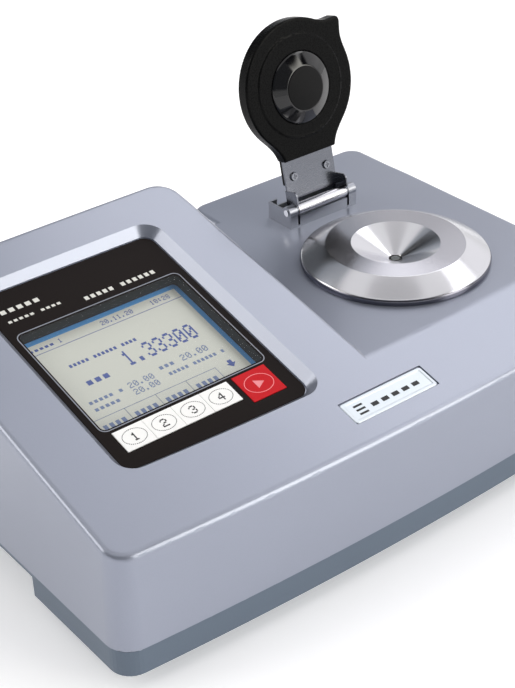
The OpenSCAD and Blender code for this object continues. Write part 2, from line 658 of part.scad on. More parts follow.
// cover frame: open pose, u across, t up the cover from the hinge axis, n out of its inner face
module on_cover() translate([hinge[0], hinge[1], hinge[2]]) rotate([-lid_lean, 0, 0]) children();

lid_back = 10.4;
lid_face = 8.7;
lid_len = 73.8;
plug_len = 72.6;
plate_y = 5.6;

// disc on the cover, from a to b in front of its back face, at t up the cover
module lid_cyl(a, b, r1, r2, t = lid_len) translate([0, lid_back - a, t]) rotate([90, 0, 0])
  cylinder(h = b - a, r1 = r1, r2 = r2, $fn = 128);

module cover_disc() color(black) on_cover() difference() {
  union() {
    lid_cyl(0, lid_face, lid_r, lid_r);
    lid_cyl(lid_face - 0.1, lid_face + 0.5, 32.4, 32);
    // grip tab
    translate([0, lid_back, lid_len]) rotate([90, 0, 0]) linear_extrude(lid_face) hull() {
      translate([33.2, 30]) circle(r = 5, $fn = 32);
      translate([18, 28]) circle(r = 7, $fn = 32);
      translate([30, 12]) circle(r = 7, $fn = 32);
    }
    // neck down to the top of the bracket, and the tongue behind it
    translate([0, lid_back, 0]) rotate([90, 0, 0]) linear_extrude(lid_face) hull() {
      translate([-bracket_w / 2, 30.2]) square([bracket_w, 1]);
      translate([-27, 44]) square([54, 1]);
    }
    translate([0.4 - bracket_w / 2, plate_y + 1.5, 14]) cube([bracket_w - 0.8, lid_back - plate_y - 1.5, 18]);
  }
  lid_cyl(lid_face - 4.1, lid_face + 2, 22.4, 22.4, plug_len);
  for (s = [-1, 1]) translate([s * 13.2, lid_back + 0.1, 19]) rotate([90, 0, 0]) cylinder(h = 4, r = 1.3);
}

// cone that dips into the sample cone when the cover is shut
module cover_dish() color([0.10, 0.10, 0.11]) on_cover()
  translate([0, lid_back - lid_face + 4.1, plug_len]) rotate([90, 0, 0])
    rotate_extrude($fn = 128) polygon([[0, 0], [22.2, 0], [22.2, 4.7], [21.2, 5.5], [14, 8.8], [0, 8.8]]);

module cover_pad() color(black) on_cover() lid_cyl(lid_face + 4.7, lid_face + 5.2, 13.4, 13.2, plug_len);

module cover_bracket() color(steel) on_cover() difference() {
  union() {
    translate([-bracket_w / 2, plate_y, 4.6]) cube([bracket_w, 1.4, 25.4]);
    for (s = [-1, 1]) translate([s * slot_x - 0.5, 0, 0]) ear();
  }
  for (s = [-1, 1]) translate([s * 13.2, plate_y + 3, 19]) rotate([90, 0, 0]) cylinder(h = 6, r = 1.6);
}

// side ear of the bracket, in the slot of the hinge block
module ear() difference() {
  union() {
    rotate([0, 90, 0]) cylinder(h = 1, r = 3.6);
    translate([0, -2, 0]) cube([1, plate_y + 3, 9]);
    translate([0, -1.6, 9]) rotate([0, 90, 0]) cylinder(h = 1, r = 2.6);
    translate([0, -4.2, 3.4]) cube([1, plate_y + 5, 5.6]);
    translate([0, -1.6, 4]) cube([1, plate_y + 2.6, 7.6]);
  }
  translate([-1, 0, 0]) rotate([0, 90, 0]) cylinder(h = 3, r = 1.6);
}

module bracket_screws() color(steel) on_cover()
  for (s = [-1, 1]) translate([s * 13.2, plate_y, 19]) rotate([90, 0, 0]) {
    difference() {
      cylinder(h = 1.3, r1 = 2.9, r2 = 2.4);
      for (a = [0, 90]) rotate(a) translate([-1.6, -0.3, 0.6]) cube([3.2, 0.6, 1]);
    }
    translate([0, 0, -4.6]) cylinder(h = 4.7, r = 1.25);
  }

upper_housing();
base_tray();
rubber_feet();
foot_screws();
case_screws();
membrane_panel();
lcd_window();
lcd_bezel();
lcd_module();
key_board();
key_domes();
key_1();
key_2();
key_3();
key_4();
key_start();
nameplate();
stage_ring();
sample_plate();
prism_seal();
prism();
prism_holder();
stage_base();
stage_screws();
peltier_modules();
heat_sink();
fan_frame();
fan_rotor();
fan_screws();
temperature_probe();
optics_block();
led_source();
collimator_lens();
objective_lens();
sensor_board();
main_board();
board_standoffs();
board_screws();
power_supply();
rear_panel();
panel_screws();
iec_inlet();
switch_body();
power_rocker();
serial_port();
printer_port();
hinge_block();
hinge_screws();
hinge_barrel();
hinge_pin();
friction_washers();
cover_disc();
cover_dish();
cover_pad();
cover_bracket();
bracket_screws();
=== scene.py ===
"""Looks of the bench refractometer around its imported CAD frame. Shapes are worked out in millimetres."""

import json
import math

import bmesh
import bpy
import numpy as np
from mathutils import Matrix, Vector


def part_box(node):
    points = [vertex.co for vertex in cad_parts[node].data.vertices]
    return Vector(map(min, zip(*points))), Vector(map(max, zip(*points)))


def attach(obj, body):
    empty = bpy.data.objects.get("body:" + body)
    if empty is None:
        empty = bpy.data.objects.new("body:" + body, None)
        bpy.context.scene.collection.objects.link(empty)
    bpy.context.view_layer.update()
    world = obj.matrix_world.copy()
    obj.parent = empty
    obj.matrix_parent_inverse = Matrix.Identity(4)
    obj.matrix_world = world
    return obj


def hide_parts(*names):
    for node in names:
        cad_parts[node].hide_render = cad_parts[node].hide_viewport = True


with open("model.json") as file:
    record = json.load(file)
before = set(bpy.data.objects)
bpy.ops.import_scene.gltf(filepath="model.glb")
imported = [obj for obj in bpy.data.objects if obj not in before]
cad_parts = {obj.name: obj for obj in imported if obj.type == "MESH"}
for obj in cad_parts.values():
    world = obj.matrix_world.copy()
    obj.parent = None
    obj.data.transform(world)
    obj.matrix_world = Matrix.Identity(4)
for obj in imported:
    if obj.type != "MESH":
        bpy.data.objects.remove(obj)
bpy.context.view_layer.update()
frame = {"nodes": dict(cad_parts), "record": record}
NODES = frame["nodes"]
JOINTS = {j["name"]: j for j in frame["record"]["behaviour"]["joints"]}
MM = 0.001


def mm_box(node):
    """Lowest and highest corner of a CAD node in millimetres."""
    lo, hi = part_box(node)
    return np.array(lo) / MM, np.array(hi) / MM


# ---------------------------------------------------------------- where things are
HOUSE = mm_box("upper_housing")
HALF_W = HOUSE[1][0]
FRONT_Y, REAR_Y = HOUSE[0][1], HOUSE[1][1]
Z0 = HOUSE[0][2]
STAGE_BOX = mm_box("stage_ring")
STAGE = (STAGE_BOX[0] + STAGE_BOX[1]) / 2
PLATE_TOP = STAGE_BOX[1][2]
DECK = STAGE_BOX[0][2] - 0.02
HINGE = np.array(JOINTS["cover_hinge"]["pos_m"]) / MM
PRESS = JOINTS["key_1_press"]["axis"]
SLOPE = math.atan2(PRESS[1], -PRESS[2])
TAN, COS = math.tan(SLOPE), math.cos(SLOPE)
LEAN = math.radians(JOINTS["cover_hinge"]["range_deg"][1] - 90)

# the front bows out by BOW, and the slope starts from the top of the front, at the height FRONT_H
BOW = 7.3
BOW_R = (HALF_W**2 + BOW**2) / (2 * BOW)
BOW_Y = FRONT_Y + BOW_R
VIRT_Y = FRONT_Y + BOW
FRONT_H = 84.4
# lean of the walls and radius of the upright corners
DRAFT = 0.035
CORNER = 13.5
# the display half ends behind at REAR_A; the stage half starts at STEP_X and reaches back to REAR_Y
REAR_A = 104.0
STEP_X = 41.0
# right side of the display half at the height of the deck, and its lean
SPLIT_X, SPLIT_RATE = 12.4, 0.10
WALL = 3.0
SEAM = 0.3
BORE_R = 50.0
# panel and window on the slope: across, up the slope, and their heights over it
PANEL_X, PANEL_V = (-142.9, -28), (52.25, 195.7)
PANEL_R, PANEL_W, LCD_W = 7.0, -3.9, -11.6
WIN_X, WIN_V = (-137.6, -33.7), (78.2, 160)
# lower and upper edge of the white keys and of the red key
KEY_ROW, START_ROW = (59.3, 75.0), (54.2, 75.3)
BADGE = (-26, 31.4, 10.3, 25.7)
VENT_X, VENT_W, VENT_Z = range(72, 162, 9), 3.4, (44, 78)

TO_SLOPE = Matrix.Translation((0, VIRT_Y, FRONT_H)) @ Matrix.Rotation(SLOPE, 4, "X")
TO_COVER = Matrix.Translation(HINGE.tolist()) @ Matrix.Rotation(-LEAN, 4, "X")


def in_frame(matrix, x, y, z):
    """Arrays in the shared frame to a local frame, all in millimetres."""
    m = np.array(matrix.inverted())
    return tuple(m[i, 0] * x + m[i, 1] * y + m[i, 2] * z + m[i, 3] for i in range(3))


# ---------------------------------------------------------------- distance functions
def cut(a, b, r):
    """Both solids at once, with the edge between them rounded to r."""
    return np.minimum(-r, np.maximum(a, b)) + np.hypot(np.maximum(a + r, 0), np.maximum(b + r, 0))


def less(a, b, r):
    """Solid a without solid b."""
    return cut(a, -b, r)


def ramp(v, lo, hi):
    """0 below lo, 1 above hi, smooth between."""
    t = np.clip((v - lo) / (hi - lo), 0, 1)
    return t * t * (3 - 2 * t)


def box_d(x, y, z, lo, hi, r=0.0):
    """Distance to a box with its edges rounded to r."""
    q = [np.abs(v - (a + b) / 2) - (b - a) / 2 + r for v, a, b in zip((x, y, z), lo, hi)]
    out = np.sqrt(sum(np.maximum(v, 0) ** 2 for v in q))
    return out + np.minimum(np.maximum(q[0], np.maximum(q[1], q[2])), 0) - r


def rod_d(a, b, c, radius, lo, hi, r=0.0):
    """Distance to a round rod of that radius round the c axis, from lo to hi."""
    return cut(np.hypot(a, b) - radius, np.abs(c - (lo + hi) / 2) - (hi - lo) / 2, r)


def plan_d(x, y, z=0.0):
    """Distance to the outline of the body, seen from above; the right wall leans in less than the others."""
    front = np.hypot(x, y - BOW_Y) - BOW_R
    side = np.abs(x) - HALF_W - 0.75 * DRAFT * np.maximum(z - Z0, 0) * (x > 0)
    rear = np.minimum(y - REAR_A, cut(y - REAR_Y, STEP_X - x, CORNER))
    return cut(cut(front, side, CORNER), rear, CORNER * (np.abs(x) > 120) + 0.01)


def crown(x):
    """How far the bowed front stands out of its chord, less at the sides."""
    return BOW * (1 - (x / HALF_W) ** 2)


def slope_d(x, y, z):
    """Height over the sloped face, which is bowed like the front."""
    return (z - FRONT_H - TAN * (y - VIRT_Y + crown(x))) * COS


def blend(a, b, r):
    """Either solid, with a soft fillet of about r where they meet at an angle."""
    h = np.maximum(r - np.abs(a - b), 0)
    return np.minimum(a, b) - h * h / (4 * r + 1e-6)


def body_d(x, y, z):
    """The closed outer form of the housing."""
    outer = plan_d(x, y, z) + DRAFT * (z - Z0)
    slope = slope_d(x, y, z)
    deck = z - DECK
    side = (x - SPLIT_X + SPLIT_RATE * (z - DECK)) / math.hypot(1, SPLIT_RATE)
    edge = 3.2 + ramp(y, 70, 95)
    block = cut(cut(outer, side, 14), slope, edge)
    low = cut(outer, cut(slope, deck, 0.5), edge)
    return blend(block, low, 2.0 * ramp(-slope, 0.5, 5) * ramp(-outer, 0.5, 5))


def housing_d(x, y, z):
    """The housing as a shell, with the plates that carry the display, the stage and the rear panel."""
    closed = body_d(x, y, z)
    shell = np.maximum(closed, -(closed + WALL))
    u, v, w = in_frame(TO_SLOPE, x, y, z)
    carrier = box_d(u, v, w, (PANEL_X[0] - 9, PANEL_V[0] - 16, -7.3), (PANEL_X[1] + 9, PANEL_V[1] + 9, -1))
    pad = rod_d(x - STAGE[0], y - STAGE[1], z, BORE_R + 4, DECK - 7, DECK - 1)
    panel = box_d(x, y, z, (-166, 95.5, 28), (16, 100.5, 92))
    inner = np.minimum(np.minimum(carrier, pad), panel)
    return np.maximum(np.minimum(shell, np.maximum(inner, closed)), Z0 - z)


# ---------------------------------------------------------------- meshes
def axis(lo, hi, step, *fine):
    """Grid lines from lo to hi, closer together inside each (from, to, step) of fine."""
    out = [lo]
    while out[-1] < hi:
        here = [s for a, b, s in fine if a <= out[-1] < b]
        out.append(out[-1] + min([step] + here))
    return np.array(out)


def gradient(f, p, h=0.01):
    """Gradient of f at each row of p."""
    g = np.empty_like(p)
    for i in range(3):
        d = np.zeros(3)
        d[i] = h
        g[:, i] = (f(*(p + d).T) - f(*(p - d).T)) / (2 * h)
    return g


def net(f, xs, ys, zs, rounds=4):
    """Quads over the surface f = 0, one vertex a cell, each then drawn onto the surface itself."""
    grid = (xs, ys, zs)
    val = f(*np.meshgrid(xs, ys, zs, indexing="ij"))
    val = np.where(np.abs(val) < 1e-9, 1e-9, val)
    shape = tuple(n - 1 for n in val.shape)
    total, count = np.zeros(shape + (3,)), np.zeros(shape)
    for a in range(3):
        b, c = (a + 1) % 3, (a + 2) % 3
        for db in (0, 1):
            for dc in (0, 1):
                lo, hi = [None] * 3, [None] * 3
                lo[a], hi[a] = slice(0, -1), slice(1, None)
                for k, d in ((b, db), (c, dc)):
                    lo[k] = hi[k] = slice(d, d + shape[k])
                v0, v1 = val[tuple(lo)], val[tuple(hi)]
                hit = (v0 < 0) != (v1 < 0)
                i = np.argwhere(hit)
                t = v0[hit] / (v0[hit] - v1[hit])
                p = np.empty((len(i), 3))
                p[:, a] = grid[a][i[:, a]] + t * (grid[a][i[:, a] + 1] - grid[a][i[:, a]])
                p[:, b] = grid[b][i[:, b] + db]
                p[:, c] = grid[c][i[:, c] + dc]
                total[tuple(i.T)] += p
                count[tuple(i.T)] += 1
    used = count > 0
    index = np.full(shape, -1)
    index[used] = np.arange(used.sum())
    points = total[used] / count[used][:, None]
    quads = []
    for a in range(3):
        b, c = (a + 1) % 3, (a + 2) % 3
        inner = [slice(1, -1)] * 3
        inner[a] = slice(0, -1)
        nxt = list(inner)
        nxt[a] = slice(1, None)
        v0, v1 = val[tuple(inner)], val[tuple(nxt)]
        for rising in (False, True):
            i = np.argwhere((v0 < 0) & (v1 >= 0) if rising else (v0 >= 0) & (v1 < 0))
            i[:, b] += 1
            i[:, c] += 1
            corner = []
            for db, dc in ((1, 1), (0, 1), (0, 0), (1, 0)):
                j = i.copy()
                j[:, b] -= db
                j[:, c] -= dc
                corner.append(index[tuple(j.T)])
            quads.append(np.stack(corner if rising else corner[::-1], 1))
    cell = min(np.diff(g).min() for g in grid)
    for _ in range(rounds):
        g = gradient(f, points)
        step = (f(*points.T) / np.maximum((g**2).sum(1), 0.05))[:, None] * g
        points -= np.clip(step, -0.5 * cell, 0.5 * cell)
    return points, np.concatenate(quads)


def new_object(name, points, faces, material=None, matrix=None, smooth=True):
    """An object from points in millimetres; matrix takes them to the shared frame, also in millimetres."""
    mesh = bpy.data.meshes.new(name)
    pts = np.asarray(points, float)
    if matrix is not None:
        m = np.array(matrix)
        pts = pts @ m[:3, :3].T + m[:3, 3]
    mesh.from_pydata((pts * MM).tolist(), [], [list(map(int, f)) for f in faces])
    mesh.validate()
    mesh.polygons.foreach_set("use_smooth", [smooth] * len(mesh.polygons))
    obj = bpy.data.objects.new(name, mesh)
    bpy.context.scene.collection.objects.link(obj)
    if material:
        mesh.materials.append(material)
    return obj


def read(items, what, width=1, kind=float):
    """One attribute of every item of a mesh, as an array with that many columns."""
    out = np.empty(len(items) * width, kind)
    items.foreach_get(what, out)
    return out.reshape(-1, width) if width > 1 else out


def loop_normals(obj, f, tol=0.03, sharp=40):
    """Exact normals where the mesh lies on f = 0, and its own rounded ones on cut faces."""
    mesh = obj.data
    co = read(mesh.vertices, "co", 3) / MM
    vert = read(mesh.loops, "vertex_index", kind=int)
    total = read(mesh.polygons, "loop_total", kind=int)
    face = np.repeat(np.arange(len(total)), total)
    fn = read(mesh.polygons, "normal", 3)
    mid = read(mesh.polygons, "center", 3) / MM
    area = read(mesh.polygons, "area")
    on = np.abs(f(*mid.T)) < tol + 0.012 * np.sqrt(area) / MM
    gm = gradient(f, mid)
    gm /= np.maximum(np.linalg.norm(gm, axis=1), 1e-9)[:, None]
    on &= (gm * fn).sum(1) > 0.9
    g = gradient(f, co)
    g /= np.maximum(np.linalg.norm(g, axis=1), 1e-9)[:, None]
    out = fn[face].copy()
    good = on[face] & ((g[vert] * fn[face]).sum(1) > 0.75)
    out[good] = g[vert][good]
    rest = np.flatnonzero(~on[face])
    groups = {}
    for k in rest:
        groups.setdefault(vert[k], []).append(k)
    limit = math.cos(math.radians(sharp))
    for ks in groups.values():
        for k in ks:
            near = [fn[face[j]] * area[face[j]] for j in ks if fn[face[j]] @ fn[face[k]] > limit]
            s = np.sum(near, 0)
            out[k] = s / max(np.linalg.norm(s), 1e-12)
    mesh.polygons.foreach_set("use_smooth", [True] * len(mesh.polygons))
    mesh.normals_split_custom_set(out.tolist())


def solid(name, f, xs, ys, zs, material, cutters=(), matrix=None):
    """A piece from a distance function, less its cutters, with exact normals; matrix places it, in mm."""
    obj = new_object(name, *net(f, xs, ys, zs), material)
    for c in cutters:
        m = obj.modifiers.new("cut", "BOOLEAN")
        m.operation, m.object, m.solver = "DIFFERENCE", c, "EXACT"
    if cutters:
        deps = bpy.context.evaluated_depsgraph_get()
        mesh = bpy.data.meshes.new_from_object(obj.evaluated_get(deps))
        obj.modifiers.clear()
        old, obj.data = obj.data, mesh
        bpy.data.meshes.remove(old)
        for c in cutters:
            bpy.data.objects.remove(c)
    loop_normals(obj, f)
    if matrix is not None:
        obj.data.transform(Matrix.Scale(MM, 4) @ matrix @ Matrix.Scale(1 / MM, 4))
    return obj


def arc(c, r, a0, a1, n):
    """Points of an arc round c, from angle a0 to a1 in degrees."""
    turns = [math.radians(a0 + (a1 - a0) * i / n) for i in range(n + 1)]
    return [(c[0] + r * math.cos(a), c[1] + r * math.sin(a)) for a in turns]


def round_rect(x0, x1, y0, y1, r, n=8):
    """Outline of a rectangle with corners of radius r, n steps to a corner."""
    pts = []
    centres = ((x1 - r, y1 - r), (x0 + r, y1 - r), (x0 + r, y0 + r), (x1 - r, y0 + r))
    for i, centre in enumerate(centres):
        pts += arc(centre, r, 90 * i, 90 * i + 90, n)
    return pts


def panel_points(g, n=14):
    """Outline of the display panel grown by g; its lower edge follows the bowed front."""
    r, rb = PANEL_R + g, BOW_R - PANEL_R
    x0, x1, top = PANEL_X[0] + PANEL_R, PANEL_X[1] - PANEL_R, PANEL_V[1] - PANEL_R
    cv = PANEL_V[0] - BOW + BOW_R
    t0, t1 = math.degrees(math.asin(x0 / rb)), math.degrees(math.asin(x1 / rb))

    def low(x, t):
        return x, cv - rb * math.cos(math.radians(t))

    pts = arc(low(x0, t0), r, 180, 270 + t0, n)
    for i in range(1, 12):
        t = math.radians(t0 + (t1 - t0) * i / 12)
        pts.append(((BOW_R + g) * math.sin(t), cv - (BOW_R + g) * math.cos(t)))
    pts += arc(low(x1, t1), r, 270 + t1, 360, n)
    pts += arc((x1, top), r, 0, 90, n)
    pts += arc((x0, top), r, 90, 180, n)
    return pts


def stack(name, rings, material=None, matrix=None, closed=False, smooth=False):
    """Rings of (points, height) joined in order; capped at both ends, or closed into a ring."""
    n = len(rings[0][0])
    pts = [(p[0], p[1], z) for ring, z in rings for p in ring]
    faces = []
    m = len(rings)
    for k in range(m if closed else m - 1):
        a, b = k * n, (k + 1) % m * n
        faces += [(a + i, a + (i + 1) % n, b + (i + 1) % n, b + i) for i in range(n)]
    if not closed:
        faces += [tuple(range(n))[::-1], tuple(range((m - 1) * n, m * n))]
    obj = new_object(name, pts, faces, material, matrix, smooth)
    fix_normals(obj)
    return obj


def fix_normals(obj):
    """Turn every face outwards."""
    bm = bmesh.new()
    bm.from_mesh(obj.data)
    bmesh.ops.recalc_face_normals(bm, faces=bm.faces)
    bm.to_mesh(obj.data)
    bm.free()


def lathe(name, profile, material, matrix=None, n=160, closed=False, sharp=32):
    """A turned piece: profile points (radius, height) round the local Z axis."""
    pts, rows = [], []
    for r, z in profile:
        if r < 1e-6:
            rows.append([len(pts)] * n)
            pts.append((0, 0, z))
        else:
            rows.append(list(range(len(pts), len(pts) + n)))
            pts += [(x, y, z) for x, y in arc((0, 0), r, 0, 360, n)[:-1]]
    faces = []
    pairs = list(zip(rows, rows[1:] + rows[:1])) if closed else list(zip(rows, rows[1:]))
    for a, b in pairs:
        for i in range(n):
            j = (i + 1) % n
            f = []
            for v in (a[i], a[j], b[j], b[i]):
                if v not in f:
                    f.append(v)
            faces.append(f)
    obj = new_object(name, pts, faces, material, matrix)
    fix_normals(obj)
    obj.data.set_sharp_from_angle(angle=math.radians(sharp))
    return obj


def bars(name, boxes, material, matrix, z0, z1):
    """Thin printed marks: each (x0, x1, y0, y1) becomes a slab from z0 to z1."""
    pts, faces = [], []
    for x0, x1, y0, y1 in boxes:
        k = len(pts)
        pts += [(x, y, z) for z in (z0, z1) for x, y in ((x0, y0), (x1, y0), (x1, y1), (x0, y1))]
        faces += [(k + 3, k + 2, k + 1, k), (k + 4, k + 5, k + 6, k + 7)]
        faces += [(k + i, k + (i + 1) % 4, k + (i + 1) % 4 + 4, k + i + 4) for i in range(4)]
    return new_object(name, pts, faces, material, matrix, smooth=False)


def bevel(obj, width, segments=2, angle=35):
    """Round the sharp edges, width in millimetres."""
    m = obj.modifiers.new("edges", "BEVEL")
    m.width, m.segments, m.limit_method = width * MM, segments, "ANGLE"
    m.angle_limit = math.radians(angle)
    m.harden_normals = False
    return m


# ---------------------------------------------------------------- materials
def srgb(r, g, b):
    """A display colour as linear values."""
    return tuple(c / 12.92 if c <= 0.04045 else ((c + 0.055) / 1.055) ** 2.4 for c in (r, g, b)) + (1,)


def material(name, colour, rough, metal=0.0, grain=0.0008, vary=0.05, bump=0.02, rough_vary=0.05,
             coat=0.0, coat_rough=0.1, stretch=(1, 1, 1), aniso=0.0, radial=False, turn=0.0, cone=0.0,
             trans=0.0, ior=1.45, spec=0.5, alpha=1.0):
    """A surface with grain of that size, in metres, in its colour, roughness and relief.

    Turn is the rotation of a brushed highlight. Cone tilts the shading as on a shallow cone round the stage.
    """
    m = bpy.data.materials.new(name)
    m.use_nodes = True
    nt = m.node_tree
    b = nt.nodes["Principled BSDF"]
    link = nt.links.new
    coord = nt.nodes.new("ShaderNodeTexCoord")
    scale = nt.nodes.new("ShaderNodeMapping")
    scale.inputs["Scale"].default_value = [s / grain for s in stretch]
    link(coord.outputs["Object"], scale.inputs["Vector"])
    fine = nt.nodes.new("ShaderNodeTexNoise")
    fine.inputs["Scale"].default_value = 1.0
    fine.inputs["Detail"].default_value = 3.0
    link(scale.outputs["Vector"], fine.inputs["Vector"])
    wide = nt.nodes.new("ShaderNodeTexNoise")
    wide.inputs["Scale"].default_value = 14.0
    wide.inputs["Detail"].default_value = 2.0
    link(coord.outputs["Object"], wide.inputs["Vector"])
    both = nt.nodes.new("ShaderNodeMath")
    both.operation = "MULTIPLY_ADD"
    both.inputs[1].default_value = 0.4
    link(wide.outputs["Fac"], both.inputs[0])
    link(fine.outputs["Fac"], both.inputs[2])
    tone = nt.nodes.new("ShaderNodeMapRange")
    tone.inputs["From Min"].default_value, tone.inputs["From Max"].default_value = 0.4, 1.0
    tone.inputs["To Min"].default_value, tone.inputs["To Max"].default_value = 1 - vary, 1 + vary
    link(both.outputs[0], tone.inputs["Value"])
    mix = nt.nodes.new("ShaderNodeMix")
    mix.data_type, mix.blend_type = "RGBA", "MULTIPLY"
    mix.inputs["Factor"].default_value = 1.0
    mix.inputs[6].default_value = srgb(*colour)
    link(tone.outputs["Result"], mix.inputs[7])
    link(mix.outputs[2], b.inputs["Base Color"])
    rr = nt.nodes.new("ShaderNodeMapRange")
    rr.inputs["From Min"].default_value, rr.inputs["From Max"].default_value = 0.3, 0.7
    rr.inputs["To Min"].default_value = max(rough - rough_vary, 0.01)
    rr.inputs["To Max"].default_value = rough + rough_vary
    link(fine.outputs["Fac"], rr.inputs["Value"])
    link(rr.outputs["Result"], b.inputs["Roughness"])
    if bump:
        bp = nt.nodes.new("ShaderNodeBump")
        bp.inputs["Strength"].default_value = bump
        bp.inputs["Distance"].default_value = grain
        link(fine.outputs["Fac"], bp.inputs["Height"])
        link(bp.outputs["Normal"], b.inputs["Normal"])
    if cone:
        flat = nt.nodes.new("ShaderNodeVectorMath")
        flat.operation = "SUBTRACT"
        flat.inputs[1].default_value = (STAGE[0] * MM, STAGE[1] * MM, PLATE_TOP * MM)
        link(coord.outputs["Object"], flat.inputs[0])
        away = nt.nodes.new("ShaderNodeVectorMath")
        away.operation = "LENGTH"
        link(flat.outputs[0], away.inputs[0])
        tilt = nt.nodes.new("ShaderNodeBump")
        tilt.inputs["Strength"].default_value = 1.0
        tilt.invert = True
        tilt.inputs["Distance"].default_value = cone
        link(away.outputs["Value"], tilt.inputs["Height"])
        link(tilt.outputs["Normal"], b.inputs["Normal"])
    b.inputs["Metallic"].default_value = metal
    b.inputs["Specular IOR Level"].default_value = spec
    b.inputs["Coat Weight"].default_value = coat
    b.inputs["Coat Roughness"].default_value = coat_rough
    b.inputs["Transmission Weight"].default_value = trans
    b.inputs["IOR"].default_value = ior
    b.inputs["Alpha"].default_value = alpha
    if aniso:
        b.inputs["Anisotropic"].default_value = aniso
        b.inputs["Anisotropic Rotation"].default_value = turn
    if radial:
        t = nt.nodes.new("ShaderNodeTangent")
        t.direction_type, t.axis = "RADIAL", "Z"
        link(t.outputs["Tangent"], b.inputs["Tangent"])
    return m


PAINT = material("silver_paint", (0.58, 0.60, 0.66), 0.34, metal=0.6, grain=0.0006, vary=0.03, bump=0.05,
                 coat=0.45, coat_rough=0.14)
BASE = material("base_paint", (0.37, 0.42, 0.48), 0.42, metal=0.2, grain=0.0006, vary=0.04, bump=0.05)
RUBBER = material("black_rubber", (0.10, 0.10, 0.10), 0.75, grain=0.0012, vary=0.12, bump=0.25)
SCREW = material("screw_steel", (0.74, 0.74, 0.72), 0.30, metal=1, grain=0.0005, vary=0.06, bump=0.04)
OVERLAY = material("overlay_black", (0.095, 0.07, 0.065), 0.5, grain=0.0004, vary=0.10, bump=0.04, spec=0.1)
WINDOW = material("clear_window", (0.92, 0.95, 0.97), 0.06, grain=0.004, vary=0.01, bump=0, rough_vary=0.01,
                  alpha=0.02, spec=0.2)
PLASTIC = material("black_plastic", (0.07, 0.07, 0.075), 0.5, grain=0.0006, vary=0.12, bump=0.12, spec=0.15)
GLOSS = material("gloss_black", (0.06, 0.06, 0.07), 0.08, grain=0.003, vary=0.05, bump=0, rough_vary=0.02,
                 coat=0.4, coat_rough=0.03, spec=0.4)
COVER = material("cover_black", (0.04, 0.041, 0.044), 0.28, grain=0.0009, vary=0.08, bump=0.02, spec=0.08)
PAD = material("pad_black", (0.08, 0.08, 0.085), 0.62, grain=0.0009, vary=0.15, bump=0.10, spec=0.15)
LCD = material("lcd_glass", (0.78, 0.79, 0.76), 0.35, grain=0.0005, vary=0.015, bump=0, spec=0.3)
INK = material("lcd_ink", (0.30, 0.36, 0.60), 0.4, grain=0.0004, vary=0.05, bump=0, spec=0.2)
INK_SOFT = material("lcd_ink_soft", (0.44, 0.50, 0.64), 0.4, grain=0.0004, vary=0.05, bump=0, spec=0.2)
BLUE = material("lcd_blue", (0.30, 0.55, 0.78), 0.4, grain=0.0005, vary=0.04, bump=0, spec=0.3)
PRINT = material("print_white", (0.86, 0.86, 0.84), 0.45, grain=0.0005, vary=0.04, bump=0.02)
PRINT_GREY = material("print_grey", (0.55, 0.57, 0.62), 0.45, grain=0.0005, vary=0.05, bump=0.02)
PRINT_DARK = material("print_dark", (0.08, 0.08, 0.10), 0.45, grain=0.0005, vary=0.06, bump=0.02)
KEY_W = material("key_white", (0.97, 0.97, 0.97), 0.38, grain=0.0006, vary=0.015, bump=0.03)
KEY_R = material("key_red", (0.78, 0.03, 0.09), 0.36, grain=0.0006, vary=0.04, bump=0.03, spec=0.15)
BOARD = material("circuit_board", (0.10, 0.42, 0.24), 0.35, grain=0.0015, vary=0.20, bump=0.04)
SPRING = material("spring_steel", (0.78, 0.78, 0.76), 0.22, metal=1, grain=0.0004, vary=0.04, bump=0.02)
ALU = material("plate_aluminium", (0.84, 0.85, 0.87), 0.30, metal=1, grain=0.0003, vary=0.05, bump=0.05,
               stretch=(0.06, 1, 1))
TURNED = material("stainless", (0.82, 0.82, 0.84), 0.20, metal=1, grain=0.0006, vary=0.03, bump=0.0,
                  rough_vary=0.04, aniso=0.75, radial=True, turn=0.25)
# painted dark reflection: a darker steel for the outer edge of the stage ring, which stands in for the dark
# reflection seen along that edge
RING_PAINTED_REFLECTION = material("ring_edge_painted_reflection", (0.45, 0.45, 0.49), 0.22, metal=1, grain=0.0006, vary=0.06, bump=0.01)
DISHED = material("turned_plate", (0.73, 0.73, 0.76), 0.20, metal=1, grain=0.0006, vary=0.03, bump=0.0,
                  rough_vary=0.04, aniso=0.6, radial=True, turn=0.25, cone=0.07)
BADGE_METAL = material("badge_metal", (0.80, 0.83, 0.86), 0.34, metal=0.5, grain=0.0004, vary=0.03, bump=0.02)
PRINT_PINK = material("print_pink", (0.93, 0.55, 0.58), 0.45, grain=0.0005, vary=0.04, bump=0.02)
POLISHED = material("polished_steel", (0.86, 0.86, 0.87), 0.11, metal=1, grain=0.0010, vary=0.03, bump=0.01,
                    rough_vary=0.03)
BRACKET = material("bracket_steel", (0.42, 0.43, 0.46), 0.24, metal=1, grain=0.0006, vary=0.04, bump=0.03,
                   stretch=(0.1, 1, 1))
HINGE_STEEL = material("hinge_steel", (0.55, 0.56, 0.59), 0.32, metal=1, grain=0.0008, vary=0.04, bump=0.015,
                       rough_vary=0.04)
BARREL = material("barrel_steel", (0.66, 0.66, 0.68), 0.2, metal=1, grain=0.0008, vary=0.04, bump=0.01,
                  rough_vary=0.03)
DULL_SCREW = material("bracket_screw", (0.50, 0.51, 0.54), 0.26, metal=1, grain=0.0005, vary=0.06, bump=0.03)
GLASS = material("optical_glass", (0.90, 0.95, 0.97), 0.03, grain=0.004, vary=0.01, bump=0, rough_vary=0.01,
                 trans=0.9, ior=1.6)
BRASS = material("brass", (0.78, 0.64, 0.36), 0.28, metal=1, grain=0.0005, vary=0.08, bump=0.03)
BRONZE = material("bronze", (0.68, 0.50, 0.30), 0.35, metal=1, grain=0.0005, vary=0.08, bump=0.03)
CERAMIC = material("white_ceramic", (0.92, 0.92, 0.90), 0.55, grain=0.0008, vary=0.04, bump=0.05)
